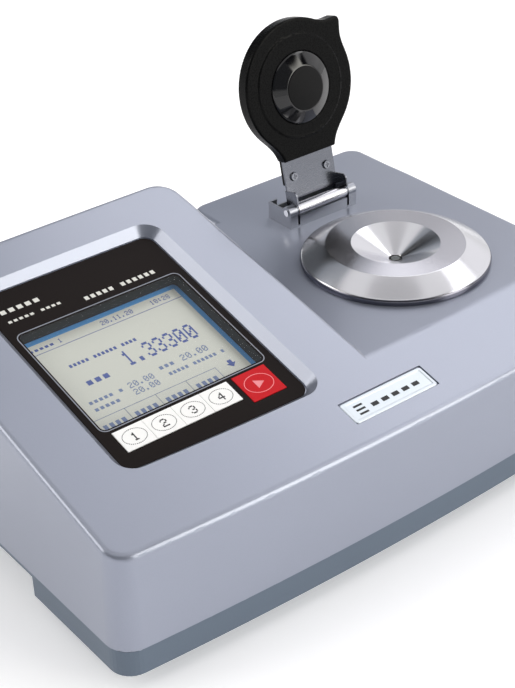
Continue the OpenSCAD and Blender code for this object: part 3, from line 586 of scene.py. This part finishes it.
RESIN = material("led_resin", (0.95, 0.80, 0.45), 0.15, grain=0.003, vary=0.05, bump=0, trans=0.3)

FOR_SLOT = {
    "silver_paint": PAINT, "base_paint": BASE, "black_rubber": RUBBER, "screw_steel": SCREW,
    "overlay_black": OVERLAY, "clear_window": WINDOW, "black_plastic": PLASTIC, "gloss_black": GLOSS,
    "lcd_glass": LCD, "circuit_board": BOARD, "spring_steel": SPRING, "key_white": KEY_W, "key_red": KEY_R,
    "plate_aluminium": ALU, "stainless": TURNED, "polished_steel": POLISHED, "optical_glass": GLASS,
    "brass": BRASS, "bronze": BRONZE, "white_ceramic": CERAMIC, "led_resin": RESIN,
}
for part in frame["record"]["subparts"]:
    mesh = NODES[part["node"]].data
    mesh.materials.clear()
    mesh.materials.append(FOR_SLOT[part["material_slot"]])

NODES["cover_bracket"].data.materials[0] = BRACKET
NODES["bracket_screws"].data.materials[0] = DULL_SCREW
NODES["hinge_block"].data.materials[0] = HINGE_STEEL
NODES["hinge_barrel"].data.materials[0] = BARREL

# ---------------------------------------------------------------- housing
xs = axis(-187.5, 187.5, 2.6, (-187.5, -169, 1), (-1, 19, 1), (36, 60, 1), (169, 187.5, 1))
ys = axis(FRONT_Y - 2.2, REAR_Y + 2.5, 2.6, (-134, -112, 1), (84, 134, 1))
zs = axis(Z0 - 2.4, 142, 1.2)


def plug(outline, z0, z1, matrix=None):
    """A cutter with that outline from z0 to z1."""
    return stack("cutter", [(outline, z0), (outline, z1)], None, matrix)


def box_plug(x0, x1, y0, y1, z0, z1, matrix=None):
    """A plain box as a cutter."""
    return plug(round_rect(x0, x1, y0, y1, 0.05, 1), z0, z1, matrix)


def key_plug(first, last, row):
    """The opening in the carrier under a row of keys."""
    return box_plug(first[0][0] - SEAM, last[1][0] + SEAM, *row, -5.7, -3, TO_SLOPE)


def window_outline(g):
    """Outline of the display window grown by g."""
    return round_rect(WIN_X[0] - g, WIN_X[1] + g, WIN_V[0] - g, WIN_V[1] + g, 3.0 + g)


def badge_outline(g, r, n=8):
    """Outline of the nameplate, shrunk by g."""
    return round_rect(BADGE[0] + g, BADGE[1] - g, BADGE[2] + g, BADGE[3] - g, r, n)


def recess_outline(g):
    """Outline of the panel's recess: the panel's own, grown by g and a little off its middle."""
    return [(x + 0.35, y + 0.35) for x, y in panel_points(g)]


foot, brow = recess_outline(0.65), recess_outline(7.25)
recess = stack("cutter", [(foot, -4.7), (foot, -3.95), (brow, 3.5)], None, TO_SLOPE)
well = plug(window_outline(1.6), -9, -3, TO_SLOPE)
keys = key_plug(mm_box("key_1"), mm_box("key_4"), KEY_ROW)
start = key_plug(mm_box("key_start"), mm_box("key_start"), START_ROW)
badge = plug(badge_outline(-0.6, 0.8, 3), 0.55, 4, TO_SLOPE)
(PX0, PY0, PZ0), (PX1, _, PZ1) = mm_box("rear_panel")
PAST = 8.0  # how far a cutter stands out of the wall it goes through
rear_win = box_plug(PX0 - SEAM, PX1 + SEAM, PY0, REAR_A + PAST, PZ0 - SEAM, PZ1 + SEAM)
rear_in = box_plug(PX0 + 6, PX1 - 6, PY0 - 8, REAR_A + PAST, PZ0 + 6, PZ1 - 6)
bore = plug(arc(STAGE[:2], BORE_R, 0, 357, 119), DECK - 9, DECK + 5)
vents = [box_plug(x, x + VENT_W, REAR_Y - 12, REAR_Y + PAST, *VENT_Z) for x in VENT_X]
bpy.context.view_layer.update()
plugs = [recess, well, keys, start, badge, rear_win, rear_in, bore] + vents
housing = solid("housing", housing_d, xs, ys, zs, PAINT, plugs)
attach(housing, "case")
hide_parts("upper_housing")

# ---------------------------------------------------------------- cover
LID_T, LID_R, LID_BACK, LID_FACE, BOSS_R = 73.8, 41.2, 10.4, 1.7, 32.0
PLUG_T = 72.6
NECK, PLATE_Y = 19.8, 5.6
TAB_TOP, TAB_SIDE, DISC_END = 33.7, 36.4, 30.2


def cover_d(u, n, t):
    """Cover disc in its own frame: u across, n towards the back, t up from the hinge."""
    v = t - LID_T
    r = np.hypot(u, v)
    disc = r - LID_R
    # the tab's top and side, both leaning out a little, and where it starts inside the disc
    top, side = v - TAB_TOP - 0.08 * (u - 20), u - TAB_SIDE - 0.11 * (v - 20)
    tab = np.maximum(cut(top, side, 4), np.maximum(12 - u, 5 - v))
    neck = np.maximum(np.abs(u) - NECK, np.maximum(DISC_END - t, v))
    plan = blend(blend(disc, tab, 4), neck, 11)
    plan = np.maximum(plan, DISC_END - t)
    plate = cut(plan, np.abs(n - (LID_BACK + LID_FACE) / 2) - (LID_BACK - LID_FACE) / 2, 1.2)
    lip = np.abs(r - BOSS_R + 0.6) - 0.6
    boss = np.maximum(r - BOSS_R, np.abs(n - 3.4) - 2.15)
    rib = cut(lip, np.abs(n - 3.2) - 2.1, 0.3)
    plate = np.minimum(blend(plate, boss, 0.5), rib)
    tongue = box_d(u, n, t, (0.5 - NECK, PLATE_Y + 1.5, 14), (NECK - 0.5, LID_BACK, 34), 0.8)
    pocket = rod_d(u, t - PLUG_T, n, 22.4, -4, 5.8)
    return less(np.minimum(plate, tongue), pocket, 0.35)


us = axis(-43, 43, 1.3)
ns = axis(-0.6, 11.4, 0.5)
ts = axis(12.9, 116.6, 1.3, (12.9, 16, 0.6), (29, 32, 0.6))
cover = solid("cover", cover_d, us, ns, ts, COVER, matrix=TO_COVER)
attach(cover, "cover")
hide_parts("cover_disc")

PLUG_SEAT = Matrix.Translation((0, LID_BACK - 4.6, PLUG_T))
TO_DISC = TO_COVER @ PLUG_SEAT @ Matrix.Rotation(math.radians(90), 4, "X")
dish_line = [(0, 0.05), (22.1, 0.05), (22.2, 0.2), (22.2, 4.5), (22.0, 4.85), (21.5, 5.28), (20.9, 5.63),
             (14.4, 8.61), (14.0, 8.78), (13.6, 8.8), (0, 8.8)]
dish = lathe("dish", dish_line, GLOSS, TO_DISC, n=192, sharp=40)
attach(dish, "cover")
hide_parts("cover_dish")
pad_line = [(0, 8.81), (13.25, 8.81), (13.35, 8.95), (13.25, 9.2), (13.0, 9.3), (0, 9.3)]
pad = lathe("pad", pad_line, PAD, TO_DISC, n=160)
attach(pad, "cover")
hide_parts("cover_pad")

# ---------------------------------------------------------------- sample stage
RING_R, PLATE_R, CONE_R, PRISM_R = (STAGE_BOX[1] - STAGE_BOX[0])[0] / 2, 41.9, 26.7, 3.9
TO_STAGE = Matrix.Translation((STAGE[0], STAGE[1], 0))
ring = lathe("ring", [(PLATE_R - 0.3, DECK + 0.02), (RING_R - 0.3, DECK + 0.02), (RING_R, DECK + 0.4),
                      (RING_R, DECK + 2.2), (RING_R - 0.2, DECK + 3.0), (RING_R - 0.7, DECK + 3.65),
                      (RING_R - 1.5, DECK + 4.25), (PLATE_R + 0.25, PLATE_TOP - 0.1), (PLATE_R, PLATE_TOP),
                      (PLATE_R - 0.3, PLATE_TOP)], TURNED, TO_STAGE, n=256, closed=True, sharp=24)
# faces near the ring's outer edge get the darker steel: a painted dark reflection, not a separate part or
# finish
ring.data.materials.append(RING_PAINTED_REFLECTION)
for p in ring.data.polygons:
    p.material_index = int(math.hypot(p.center.x / MM - STAGE[0], p.center.y / MM - STAGE[1]) > RING_R - 0.6)
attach(ring, "case")
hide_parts("stage_ring")
plate = lathe("plate", [(PRISM_R, DECK - 1.5), (PLATE_R - 0.35, DECK - 1.5), (PLATE_R - 0.35, PLATE_TOP),
                        (CONE_R, PLATE_TOP), (PRISM_R + 0.3, DECK + 0.36), (PRISM_R, DECK + 0.1)],
              DISHED, TO_STAGE, n=256, closed=True, sharp=14)
plate.data.materials.append(TURNED)
for p in plate.data.polygons:
    p.material_index = int(math.hypot(p.center.x / MM - STAGE[0], p.center.y / MM - STAGE[1]) < CONE_R - 0.2)
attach(plate, "case")
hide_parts("sample_plate")

# ---------------------------------------------------------------- display and prints
# five by seven dots for each digit, rows from the top
DOTS = {
    "0": "01110 10001 10011 10101 11001 10001 01110", "1": "00100 01100 00100 00100 00100 00100 01110",
    "2": "01110 10001 00001 00110 01000 10000 11111", "3": "01110 10001 00001 00110 00001 10001 01110",
    "4": "00010 00110 01010 10010 11111 00010 00010", "5": "11111 10000 11110 00001 00001 10001 01110",
    "6": "00110 01000 10000 11110 10001 10001 01110", "7": "11111 00001 00010 00100 01000 01000 01000",
    "8": "01110 10001 10001 01110 10001 10001 01110", "9": "01110 10001 10001 01111 00001 00010 01100",
    ".": "00000 00000 00000 00000 00000 01100 01100", ":": "00000 01100 01100 00000 01100 01100 00000",
    "-": "00000 00000 00000 11111 00000 00000 00000", " ": "00000 00000 00000 00000 00000 00000 00000",
}


def digits(text, x, y, height, width=None):
    """Bars that spell digits: x is the left edge, y the baseline, and width is that of one digit."""
    dy = height / 7
    dx = (width or height * 0.62) / 5
    advance = 6.4
    out = []
    for k, ch in enumerate(text):
        for row, line in enumerate(DOTS[ch].split()):
            start = None
            for col, dot in enumerate(line + "0"):
                if dot == "1" and start is None:
                    start = col
                if dot == "0" and start is not None:
                    x0, y0 = x + (k * advance + start) * dx, y + (6 - row) * dy
                    out.append((x0, x0 + dx * (col - start), y0, y0 + dy))
                    start = None
    return out


def blocks(x0, x1, y, height, count):
    """A row of small plain rectangles in place of words."""
    pitch = (x1 - x0) / count
    out = []
    for i in range(count):
        if i % 7 != 5:
            a = x0 + i * pitch
            out.append((a, a + 0.62 * pitch, y + 0.1 * height, y + 0.62 * height))
    return out


def on_lcd(u, t):
    """The point at u of the window's width and t of its height."""
    return WIN_X[0] + u * (WIN_X[1] - WIN_X[0]), WIN_V[0] + t * (WIN_V[1] - WIN_V[0])


def lcd_digits(text, u, t, height, width=None):
    """Digits that start at that point of the window."""
    return digits(text, *on_lcd(u, t), height, width)


def lcd_blocks(u0, u1, t, height, count):
    """Rectangles from u0 to u1 of the window's width."""
    (x0, y), (x1, _) = on_lcd(u0, t), on_lcd(u1, t)
    return blocks(x0, x1, y, height, count)


def frame_bars(x0, x1, y0, y1, w):
    """Four bars of width w along the inside of a rectangle."""
    return [(x0, x1, y0, y0 + w), (x0, x1, y1 - w, y1), (x0, x0 + w, y0, y1), (x1 - w, x1, y0, y1)]


x, y = on_lcd(0.03, 0.895)
ink = blocks(x, x + 16, y, 3.4, 5)
for text, u in (("1", 0.205), ("20.11.20", 0.47), ("10:28", 0.79)):
    ink += lcd_digits(text, u, 0.895, 3.4)
x, y = on_lcd(0.0, 0.865)
ink.append((x, on_lcd(0.97, 0)[0], y, y + 0.35))
ink += lcd_blocks(0.15, 0.57, 0.65, 4.4, 17)
ink += lcd_digits("1.33300", 0.42, 0.475, 11.6, 5.4)
ink += lcd_blocks(0.16, 0.31, 0.45, 6.6, 3)
soft = lcd_blocks(0.54, 0.64, 0.335, 4.6, 3) + lcd_digits("20.00", 0.68, 0.335, 4.6)
soft += lcd_blocks(0.56, 0.92, 0.26, 4.4, 14)
soft += lcd_blocks(0.09, 0.30, 0.30, 4.2, 7) + lcd_digits("20.00", 0.33, 0.30, 4.2)
soft += lcd_blocks(0.09, 0.28, 0.232, 4.2, 6) + lcd_digits("20.00", 0.33, 0.232, 4.2)
for i in range(4):
    x0, y0 = on_lcd(0.03 + 0.19 * i, 0.03)
    x1, y1 = on_lcd(0.22 + 0.19 * i, 0.175)
    soft += frame_bars(x0, x1 + 0.3, y0, y1, 0.3)
    soft += blocks(x0 + 3, x1 - 1.6, y0 + 2.8, 6.2, 4)


PRINT_H = 0.06  # how far a print stands off its surface


def printed(name, boxes, material, body, z):
    """Printed marks on the slope, just proud of the surface at height z."""
    obj = bars(name, boxes, material, TO_SLOPE, z - 0.02, z + PRINT_H)
    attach(obj, body)
    return obj


printed("screen_ink", ink, INK, "case", LCD_W)
printed("screen_small", soft, INK_SOFT, "case", LCD_W)
x0, y0 = on_lcd(0, 0)
x1, y1 = on_lcd(1, 1)
border = [(x0, x1, y1 - 3.2, y1), (x1 - 3.0, x1, y0, y1 - 3.2)]
printed("screen_border", border, BLUE, "case", LCD_W)
cx, cy = on_lcd(0.885, 0.155)
head, stem = 3, 1.3
arrow_line = [(cx - head, cy), (cx, cy - head), (cx + head, cy), (cx + stem, cy), (cx + stem, cy + 2 * stem),
              (cx - stem, cy + 2 * stem), (cx - stem, cy)]
arrow = stack("screen_arrow", [(arrow_line, LCD_W - 0.02), (arrow_line, LCD_W + PRINT_H)], INK, TO_SLOPE)
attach(arrow, "case")

outer, inner = window_outline(1.45), window_outline(0.85)
low, high = PANEL_W - 0.03, PANEL_W + PRINT_H
line = stack("window_line", [(outer, low), (outer, high), (inner, high), (inner, low)], PRINT_GREY, TO_SLOPE,
             closed=True)
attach(line, "case")
title = blocks(-90, -38, 165.6, 5.6, 13)
printed("panel_marks", title, PRINT, "case", PANEL_W)
side_marks = blocks(-136, -110, 178, 6.0, 5) + blocks(-136, -102, 170.5, 3.4, 10)
printed("panel_marks_left", side_marks, PRINT, "case", PANEL_W)


def oval(name, cx, cy, rx, ry, w, dashes, material, body, z):
    """A printed oval, broken into dashes when dashes is not 0."""
    pts, faces = [], []
    n = dashes or 1
    per = 3 if dashes else 48
    for k in range(n):
        a0, a1 = 2 * math.pi * k / n, 2 * math.pi * (k + (0.62 if dashes else 1)) / n
        base = len(pts)
        for i in range(per + 1):
            a = a0 + (a1 - a0) * i / per
            for d, h in ((w / 2, z - 0.02), (w / 2, z + PRINT_H), (-w / 2, z + PRINT_H), (-w / 2, z - 0.02)):
                pts.append((cx + (rx + d) * math.cos(a), cy + (ry + d) * math.sin(a), h))
        for i in range(per):
            p, q = base + 4 * i, base + 4 * i + 4
            faces += [(p + j, q + j, q + (j + 1) % 4, p + (j + 1) % 4) for j in range(4)]
        if dashes:
            last = base + 4 * per
            faces += [(base, base + 1, base + 2, base + 3), (last + 3, last + 2, last + 1, last)]
    obj = new_object(name, pts, faces, material, TO_SLOPE, smooth=False)
    fix_normals(obj)
    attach(obj, body)


KEY_TOP = PANEL_W + 0.2
for i in range(4):
    lo, hi = mm_box("key_%d" % (i + 1))
    mid = (lo[0] + hi[0]) / 2
    n = str(i + 1)
    key, row = "key_" + n, sum(KEY_ROW) / 2
    oval("key_oval_" + n, mid, row, 6.9, 5.2, 0.4, 40, PRINT_DARK, key, KEY_TOP)
    number = digits(n, mid - 1.9, row - 2.95, 5.6, 3.8)
    printed("key_mark_" + n, number, PRINT_DARK, key, KEY_TOP)
lo, hi = mm_box("key_start")
mid = (lo[0] + hi[0]) / 2
row = sum(START_ROW) / 2
oval("key_oval_start", mid, row, 8.6, 6.6, 0.4, 0, PRINT_PINK, "key_start", KEY_TOP)
tri = [(mid - 2.2, row - 3.15), (mid + 3.4, row), (mid - 2.2, row + 3.15)]
mark = stack("key_mark_start", [(tri, KEY_TOP - 0.02), (tri, KEY_TOP + PRINT_H)], PRINT_PINK, TO_SLOPE)
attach(mark, "key_start")

# nameplate: raised rounded frame round a plain field with generic marks
rim = [(badge_outline(0.0, 1.6), 0.55), (badge_outline(0.0, 1.6), 1.05), (badge_outline(0.35, 1.4), 1.35),
       (badge_outline(1.7, 1.0), 1.35), (badge_outline(2.2, 0.8), 1.0)]
plate_piece = stack("nameplate_plate", rim, BADGE_METAL, TO_SLOPE)
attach(plate_piece, "case")
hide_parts("nameplate")
marks = [(-20, -14, y, y + 1.3) for y in (14.4, 17.3, 20.2)] + blocks(-10, 26, 15.4, 5.2, 5)
printed("nameplate_marks", marks, PRINT_DARK, "case", 1.0)

# edges of the pieces that are kept as they are
EDGES = {
    "base_tray": 0.7, "hinge_block": 0.45, "hinge_barrel": 0.3, "cover_bracket": 0.2, "rear_panel": 0.3,
    "iec_inlet": 0.4, "power_rocker": 0.4, "rubber_feet": 0.6, "bracket_screws": 0.15, "membrane_panel": 0.1,
    "lcd_bezel": 0.15, "hinge_pin": 0.15, "serial_port": 0.25, "printer_port": 0.25,
}
for node, width in EDGES.items():
    bevel(NODES[node], width)
for n in ("1", "2", "3", "4", "start"):
    bevel(NODES["key_" + n], 0.12)

# ---------------------------------------------------------------- camera and light
# the camera of the photo, solved from the object's straight edges and circles; lens and sensor in mm
POS = Vector((-0.46044, -0.60129, 0.54557))
LENS, SENSOR = 80.626, 36
az, el, roll = math.radians(-37.309), math.radians(32.002), math.radians(-1.985)
back = Vector((math.sin(az) * math.cos(el), -math.cos(az) * math.cos(el), math.sin(el)))
right = (-back).cross(Vector((0, 0, 1))).normalized()
up = right.cross(-back)
cam_x = right * math.cos(roll) + up * math.sin(roll)
cam_y = -right * math.sin(roll) + up * math.cos(roll)
cam = bpy.data.objects.new("camera", bpy.data.cameras.new("camera"))
bpy.context.scene.collection.objects.link(cam)
cam.matrix_world = Matrix.Translation(POS) @ Matrix((cam_x, cam_y, back)).transposed().to_4x4()
cam.data.sensor_width = SENSOR
cam.data.lens = LENS
cam.data.clip_start, cam.data.clip_end = 0.05, 20
bpy.context.scene.camera = cam

world = bpy.data.worlds.new("studio")
bpy.context.scene.world = world
world.use_nodes = True
nt = world.node_tree
link = nt.links.new
coord = nt.nodes.new("ShaderNodeTexCoord")
split = nt.nodes.new("ShaderNodeSeparateXYZ")
link(coord.outputs["Generated"], split.inputs[0])


def node_math(op, a, b=None, c=None):
    """Output of a Math node in the world; a, b and c are numbers or sockets."""
    n = nt.nodes.new("ShaderNodeMath")
    n.operation = op
    for i, v in enumerate((a, b, c)):
        if v is None:
            continue
        if isinstance(v, (int, float)):
            n.inputs[i].default_value = v
        else:
            link(v, n.inputs[i])
    return n.outputs[0]


def step_up(v, at, soft):
    """0 where v is below at, 1 above, over a soft edge."""
    n = nt.nodes.new("ShaderNodeMapRange")
    n.interpolation_type = "SMOOTHSTEP"
    n.inputs["From Min"].default_value, n.inputs["From Max"].default_value = at - soft, at + soft
    link(v, n.inputs["Value"])
    return n.outputs["Result"]


azimuth = node_math("MULTIPLY", node_math("ARCTAN2", split.outputs[1], split.outputs[0]), 180 / math.pi)
height = node_math("MULTIPLY", node_math("ARCSINE", split.outputs[2]), 180 / math.pi)


def panel(az0, az1, el0, el1, soft=3.0):
    """1 inside a panel of the studio that spans those degrees of azimuth and elevation, else 0."""
    out = node_math("MULTIPLY", step_up(azimuth, az0, soft),
                    node_math("SUBTRACT", 1, step_up(azimuth, az1, soft)))
    rise = node_math("MULTIPLY", step_up(height, el0, soft),
                     node_math("SUBTRACT", 1, step_up(height, el1, soft)))
    return node_math("MULTIPLY", out, rise)


# the studio: name, azimuth from and to, elevation from and to, strength, colour
PANELS = [
    ("ceiling", -181, 181, 74, 91, 0.62, (1.0, 0.99, 0.99)),
    ("upper", -181, 181, 56, 74, 1.0, (1.0, 0.99, 0.99)),
    ("horizon", -181, 181, -91, 8, 0.9, (1.0, 1.0, 1.0)),
    ("right", -30, 40, 8, 36, 1.15, (1.0, 0.99, 1.0)),
    ("right_edge", 40, 50, 8, 36, 0.7, (1.0, 0.99, 1.0)),
    ("right_high", -42, 52, 38, 54, 2.9, (1.0, 0.99, 1.0)),
    ("rear", 50, 70, 8, 38, 0.48, (0.86, 0.92, 1.0)),
    ("rear_dark", 70, 118, 8, 38, 0.12, (0.86, 0.92, 1.0)),
    ("rear_high", 52, 118, 38, 56, 0.4, (0.86, 0.92, 1.0)),
    ("rear_left", 118, 166, 16, 46, 3.4, (1.0, 0.975, 0.92)),
    ("left", 166, 181, 8, 56, 0.12, (0.85, 0.92, 1.0)),
    ("left_front", -181, -120, 8, 56, 0.15, (0.85, 0.92, 1.0)),
    ("front", -120, -74, 8, 56, 0.18, (0.92, 0.95, 1.0)),
    ("front_strip", -74, -42, 6, 40, 5.0, (1.0, 0.975, 0.90)),
]
total = None
for name, az0, az1, el0, el1, strength, colour in PANELS:
    tint = nt.nodes.new("ShaderNodeMix")
    tint.name = name
    tint.data_type, tint.blend_type = "RGBA", "MIX"
    tint.inputs[6].default_value = (0, 0, 0, 1)
    tint.inputs[7].default_value = tuple(strength * c for c in colour) + (1,)
    link(panel(az0, az1, el0, el1), tint.inputs["Factor"])
    if total is None:
        total = tint.outputs[2]
        continue
    both = nt.nodes.new("ShaderNodeMix")
    both.data_type, both.blend_type, both.clamp_result = "RGBA", "ADD", False
    both.inputs["Factor"].default_value = 1
    link(total, both.inputs[6])
    link(tint.outputs[2], both.inputs[7])
    total = both.outputs[2]
link(total, nt.nodes["Background"].inputs["Color"])
nt.nodes["Background"].inputs["Strength"].default_value = 1.0
bpy.context.scene.view_settings.view_transform = "Standard"

floor_mat = material("floor_white", (0.97, 0.97, 0.98), 0.7, grain=0.01, vary=0.005, bump=0)
glow = floor_mat.node_tree.nodes["Principled BSDF"].inputs
glow["Emission Color"].default_value = (1, 1, 1, 1)
glow["Emission Strength"].default_value = 0.3
FLOOR_HALF, FLOOR_Z = 4000, -0.05  # just below the feet
corners = [(x * FLOOR_HALF, y * FLOOR_HALF, FLOOR_Z) for x, y in ((-1, -1), (1, -1), (1, 1), (-1, 1))]
floor = new_object("floor", corners, [(0, 1, 2, 3)], floor_mat, smooth=False)
